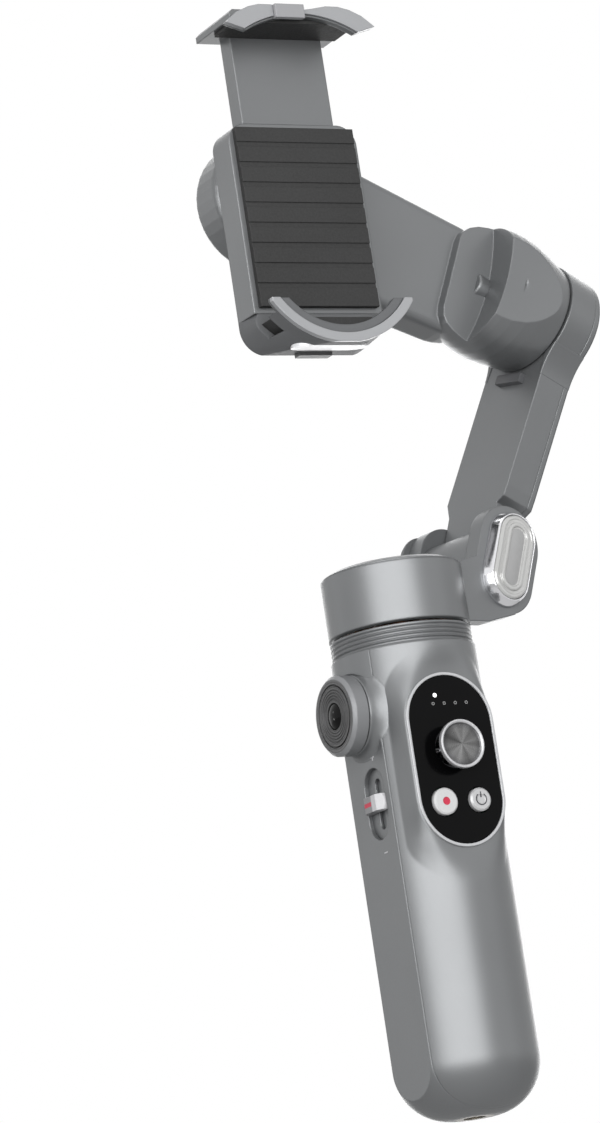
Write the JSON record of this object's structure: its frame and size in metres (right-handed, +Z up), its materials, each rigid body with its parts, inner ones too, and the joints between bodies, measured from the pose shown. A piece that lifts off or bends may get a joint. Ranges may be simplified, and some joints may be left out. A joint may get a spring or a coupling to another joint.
{
  "type": "handheld smartphone gimbal",
  "caption": "Folding three-axis handheld stabiliser with a sprung landscape clamp, a side wheel and a control panel with joystick.",
  "frame": {"origin": "centre of the tripod thread's mouth, in the flat under the handle", "axes": "+Z up the handle along the pan axis, -Y out of the control panel, -X towards the side with the wheel"},
  "size_m": [0.1032, 0.0471, 0.264],
  "materials": {
    "casing": "satin titanium-grey paint over moulded plastic and cast aluminium",
    "dark_casing": "satin dark grey",
    "bright_metal": "polished",
    "lip_metal": "fine satin silver",
    "panel_gloss": "piano black gloss",
    "clear_cover": "silver-backed clear gloss",
    "white_button": "fine matte white",
    "grey_button": "satin light grey",
    "grip_rubber": "matte",
    "steel": "machined",
    "brass": "machined",
    "winding": "enamelled copper on laminated steel",
    "magnet": "nickel plated",
    "board": "solder-mask green",
    "cell": "shrink wrap"
  },
  "bodies": {
    "handle": {"handle_rear_shell": "casing", "handle_front_shell": "casing", "collar_ring": "casing", "panel_bezel": "bright_metal", "control_panel": "panel_gloss", "status_light": "white_button", "main_board": "board", "battery_cell": "cell", "tripod_insert": "brass", "usb_port": "steel", "collar_screws": "steel", "joystick_base": "dark_casing", "slider_plate": "dark_casing", "wheel_boss": "casing", "pan_stator": "winding", "pan_bearings": "steel"},
    "rocker": {"joystick_rocker": "steel"},
    "stick": {"joystick_stem": "dark_casing", "joystick_cap": "dark_casing"},
    "record_key": {"record_button": "white_button"},
    "power_key": {"power_button": "grey_button"},
    "zoom_key": {"zoom_slider": "casing"},
    "focus_wheel": {"side_wheel": "dark_casing"},
    "wheel_key": {"wheel_button": "panel_gloss"},
    "pan_head": {"yoke": "casing", "pan_magnets": "magnet", "pan_shaft": "steel", "pan_top_cap": "casing", "fold_pin": "steel", "hinge_ring": "bright_metal", "hinge_cap": "clear_cover", "rear_hinge_cap": "casing"},
    "arm": {"arm_shell": "casing", "arm_cover": "casing", "hinge_bushes": "brass", "tilt_stop": "dark_casing", "arm_screws": "steel", "tilt_stator": "winding", "tilt_bearings": "steel"},
    "tilt_head": {"tilt_arm": "casing", "tilt_magnets": "magnet", "tilt_shaft": "steel", "roll_stator": "winding", "roll_bearings": "steel", "roll_cap": "dark_casing"},
    "clamp": {"clamp_back": "casing", "clamp_face": "grip_rubber", "roll_rotor": "casing", "roll_magnets": "magnet", "roll_shaft": "steel", "lower_jaw": "casing", "lower_lip": "lip_metal", "lower_pad": "grip_rubber", "guide_rods": "steel", "accessory_plate": "bright_metal", "clamp_spring": "steel"},
    "upper_clamp": {"upper_jaw": "casing", "upper_lip": "lip_metal", "upper_pad": "grip_rubber", "light_shoe": "bright_metal"}
  },
  "joints": [
    {"name": "pan", "type": "hinge", "parent": "handle", "child": "pan_head", "pos_m": [0, 0, 0.1102], "axis": [0, 0, 1], "range_deg": [-160, 170]},
    {"name": "fold", "type": "hinge", "parent": "pan_head", "child": "arm", "pos_m": [0.02572, 0.00594, 0.1313], "axis": [-0.225, 0.9744, 0], "range_deg": [0, 150]},
    {"name": "tilt", "type": "hinge", "parent": "arm", "child": "tilt_head", "pos_m": [0.05193, 0.00183, 0.19388], "axis": [-0.8929, -0.2061, 0.4003], "range_deg": [-101, 78]},
    {"name": "roll", "type": "hinge", "parent": "tilt_head", "child": "clamp", "pos_m": [-0.01593, -0.01384, 0.22431], "axis": [0, 1, 0], "range_deg": [-120, 210]},
    {"name": "jaw_slide", "type": "slide", "parent": "clamp", "child": "upper_clamp", "axis": [0, 0, 1], "range_m": [-0.0135, 0.016], "stiffness_N_per_m": 400, "deforming": ["clamp_spring"]},
    {"name": "joystick_updown", "type": "hinge", "parent": "handle", "child": "rocker", "pos_m": [0, -0.013, 0.0844], "axis": [1, 0, 0], "range_deg": [-15, 15], "stiffness_Nm_per_rad": 0.02},
    {"name": "joystick_sideways", "type": "hinge", "parent": "rocker", "child": "stick", "pos_m": [0, -0.013, 0.0844], "axis": [0, 0, 1], "range_deg": [-15, 15], "stiffness_Nm_per_rad": 0.02},
    {"name": "record_press", "type": "slide", "parent": "handle", "child": "record_key", "axis": [0, 1, 0], "range_m": [0, 0.0006], "stiffness_N_per_m": 600},
    {"name": "power_press", "type": "slide", "parent": "handle", "child": "power_key", "axis": [0, 1, 0], "range_m": [0, 0.0006], "stiffness_N_per_m": 600},
    {"name": "zoom_push", "type": "slide", "parent": "handle", "child": "zoom_key", "axis": [0, 0, 1], "range_m": [-0.004, 0.004], "stiffness_N_per_m": 200},
    {"name": "wheel_turn", "type": "hinge", "parent": "handle", "child": "focus_wheel", "pos_m": [-0.0148, -0.001, 0.0962], "axis": [-1, 0, 0], "continuous": true},
    {"name": "wheel_press", "type": "slide", "parent": "handle", "child": "wheel_key", "axis": [1, 0, 0], "range_m": [0, 0.0004], "stiffness_N_per_m": 600}
  ]
}
